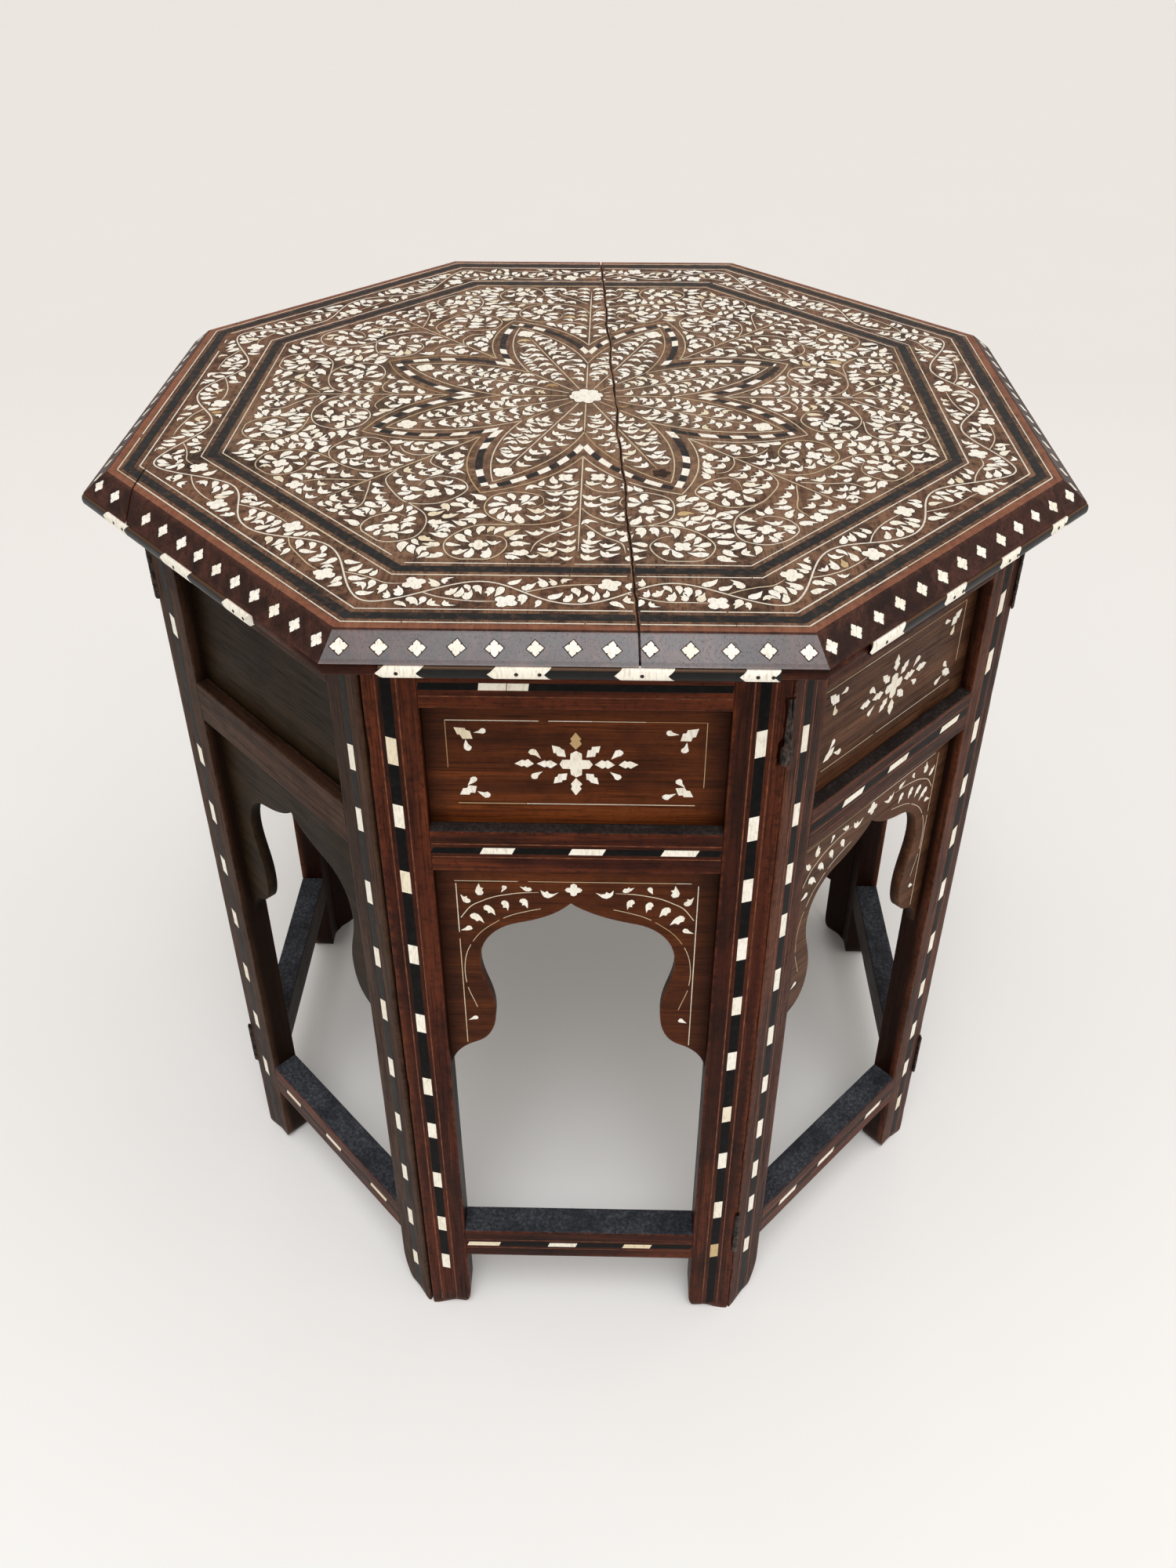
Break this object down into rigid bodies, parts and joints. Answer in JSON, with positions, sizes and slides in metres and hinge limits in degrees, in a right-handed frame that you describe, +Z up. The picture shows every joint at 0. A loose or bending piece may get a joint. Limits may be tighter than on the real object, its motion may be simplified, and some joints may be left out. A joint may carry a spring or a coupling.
{
  "type": "octagonal side table",
  "caption": "Octagonal side table with a lift-off boarded top on a folding ring of hinged, framed leaves with cusped arches, inlaid with bone and ebony.",
  "frame": {"origin": "middle of the ring of feet, on the floor", "axes": "+Z up, front leaf faces -Y, +X to the right seen from the front"},
  "size_m": [0.61, 0.61, 0.635],
  "materials": {
    "wood_frame": "waxed dark red-brown hardwood",
    "wood_top": "waxed mid-brown hardwood",
    "ebony": "polished ebony",
    "bone": "polished bone inlay",
    "iron": "dark rusted iron"
  },
  "bodies": {
    "front_leaf": {"front_leaf_left_stile": "wood_frame", "front_leaf_right_stile": "wood_frame", "front_leaf_middle_rail": "wood_frame", "front_leaf_stretcher": "wood_frame", "front_leaf_arched_panel": "wood_frame", "front_leaf_lower_hinge": "iron", "front_leaf_upper_hinge": "iron"},
    "front_right_leaf": {"front_right_leaf_left_stile": "wood_frame", "front_right_leaf_right_stile": "wood_frame", "front_right_leaf_middle_rail": "wood_frame", "front_right_leaf_stretcher": "wood_frame", "front_right_leaf_arched_panel": "wood_frame", "front_right_leaf_lower_hinge": "iron", "front_right_leaf_upper_hinge": "iron"},
    "right_leaf": {"right_leaf_left_stile": "wood_frame", "right_leaf_right_stile": "wood_frame", "right_leaf_middle_rail": "wood_frame", "right_leaf_stretcher": "wood_frame", "right_leaf_arched_panel": "wood_frame", "right_leaf_lower_hinge": "iron", "right_leaf_upper_hinge": "iron"},
    "back_right_leaf": {"back_right_leaf_left_stile": "wood_frame", "back_right_leaf_right_stile": "wood_frame", "back_right_leaf_middle_rail": "wood_frame", "back_right_leaf_stretcher": "wood_frame", "back_right_leaf_arched_panel": "wood_frame", "back_right_leaf_lower_hinge": "iron", "back_right_leaf_upper_hinge": "iron"},
    "back_leaf": {"back_leaf_left_stile": "wood_frame", "back_leaf_right_stile": "wood_frame", "back_leaf_middle_rail": "wood_frame", "back_leaf_stretcher": "wood_frame", "back_leaf_arched_panel": "wood_frame", "back_leaf_lower_hinge": "iron", "back_leaf_upper_hinge": "iron"},
    "back_left_leaf": {"back_left_leaf_left_stile": "wood_frame", "back_left_leaf_right_stile": "wood_frame", "back_left_leaf_middle_rail": "wood_frame", "back_left_leaf_stretcher": "wood_frame", "back_left_leaf_arched_panel": "wood_frame", "back_left_leaf_lower_hinge": "iron", "back_left_leaf_upper_hinge": "iron"},
    "left_leaf": {"left_leaf_left_stile": "wood_frame", "left_leaf_right_stile": "wood_frame", "left_leaf_middle_rail": "wood_frame", "left_leaf_stretcher": "wood_frame", "left_leaf_arched_panel": "wood_frame", "left_leaf_lower_hinge": "iron", "left_leaf_upper_hinge": "iron"},
    "front_left_leaf": {"front_left_leaf_left_stile": "wood_frame", "front_left_leaf_right_stile": "wood_frame", "front_left_leaf_middle_rail": "wood_frame", "front_left_leaf_stretcher": "wood_frame", "front_left_leaf_arched_panel": "wood_frame", "front_left_leaf_lower_hinge": "iron", "front_left_leaf_upper_hinge": "iron"},
    "top": {"top_middle_board": "wood_top", "top_right_board": "wood_top", "top_left_board": "wood_top", "top_edge_band": "ebony"}
  },
  "joints": [
    {"name": "fold", "type": "hinge", "parent": "front_leaf", "child": "front_left_leaf", "pos_m": [-0.10588, -0.25561, 0.3], "axis": [0, 0, -1], "range_deg": [0, 132]},
    {"name": "fold_front_right", "type": "hinge", "parent": "front_leaf", "child": "front_right_leaf", "pos_m": [0.11531, -0.27839, 0.3], "axis": [0, 0, -1], "range_deg": [0, 44]},
    {"name": "fold_right", "type": "hinge", "parent": "front_right_leaf", "child": "right_leaf", "pos_m": [0.27839, -0.11531, 0.3], "axis": [0, 0, -1], "range_deg": [0, 44]},
    {"name": "fold_back_right", "type": "hinge", "parent": "right_leaf", "child": "back_right_leaf", "pos_m": [0.27839, 0.11531, 0.3], "axis": [0, 0, -1], "range_deg": [0, 44]},
    {"name": "fold_left", "type": "hinge", "parent": "front_left_leaf", "child": "left_leaf", "pos_m": [-0.27839, -0.11531, 0.3], "axis": [0, 0, 1], "range_deg": [0, 44]},
    {"name": "fold_back_left", "type": "hinge", "parent": "left_leaf", "child": "back_left_leaf", "pos_m": [-0.27839, 0.11531, 0.3], "axis": [0, 0, 1], "range_deg": [0, 44]},
    {"name": "fold_back", "type": "hinge", "parent": "back_left_leaf", "child": "back_leaf", "pos_m": [-0.11531, 0.27839, 0.3], "axis": [0, 0, 1], "range_deg": [0, 44]},
    {"name": "top_lift", "type": "slide", "parent": "front_leaf", "child": "top", "axis": [0, 0, 1], "range_m": [0, 0.25]}
  ],
  "couplings": [
    {"joint": "fold_front_right", "follows": "fold", "ratio": 0.33333},
    {"joint": "fold_right", "follows": "fold", "ratio": 0.33333},
    {"joint": "fold_back_right", "follows": "fold", "ratio": 0.33333},
    {"joint": "fold_left", "follows": "fold", "ratio": 0.33333},
    {"joint": "fold_back_left", "follows": "fold", "ratio": 0.33333},
    {"joint": "fold_back", "follows": "fold", "ratio": 0.33333}
  ]
}
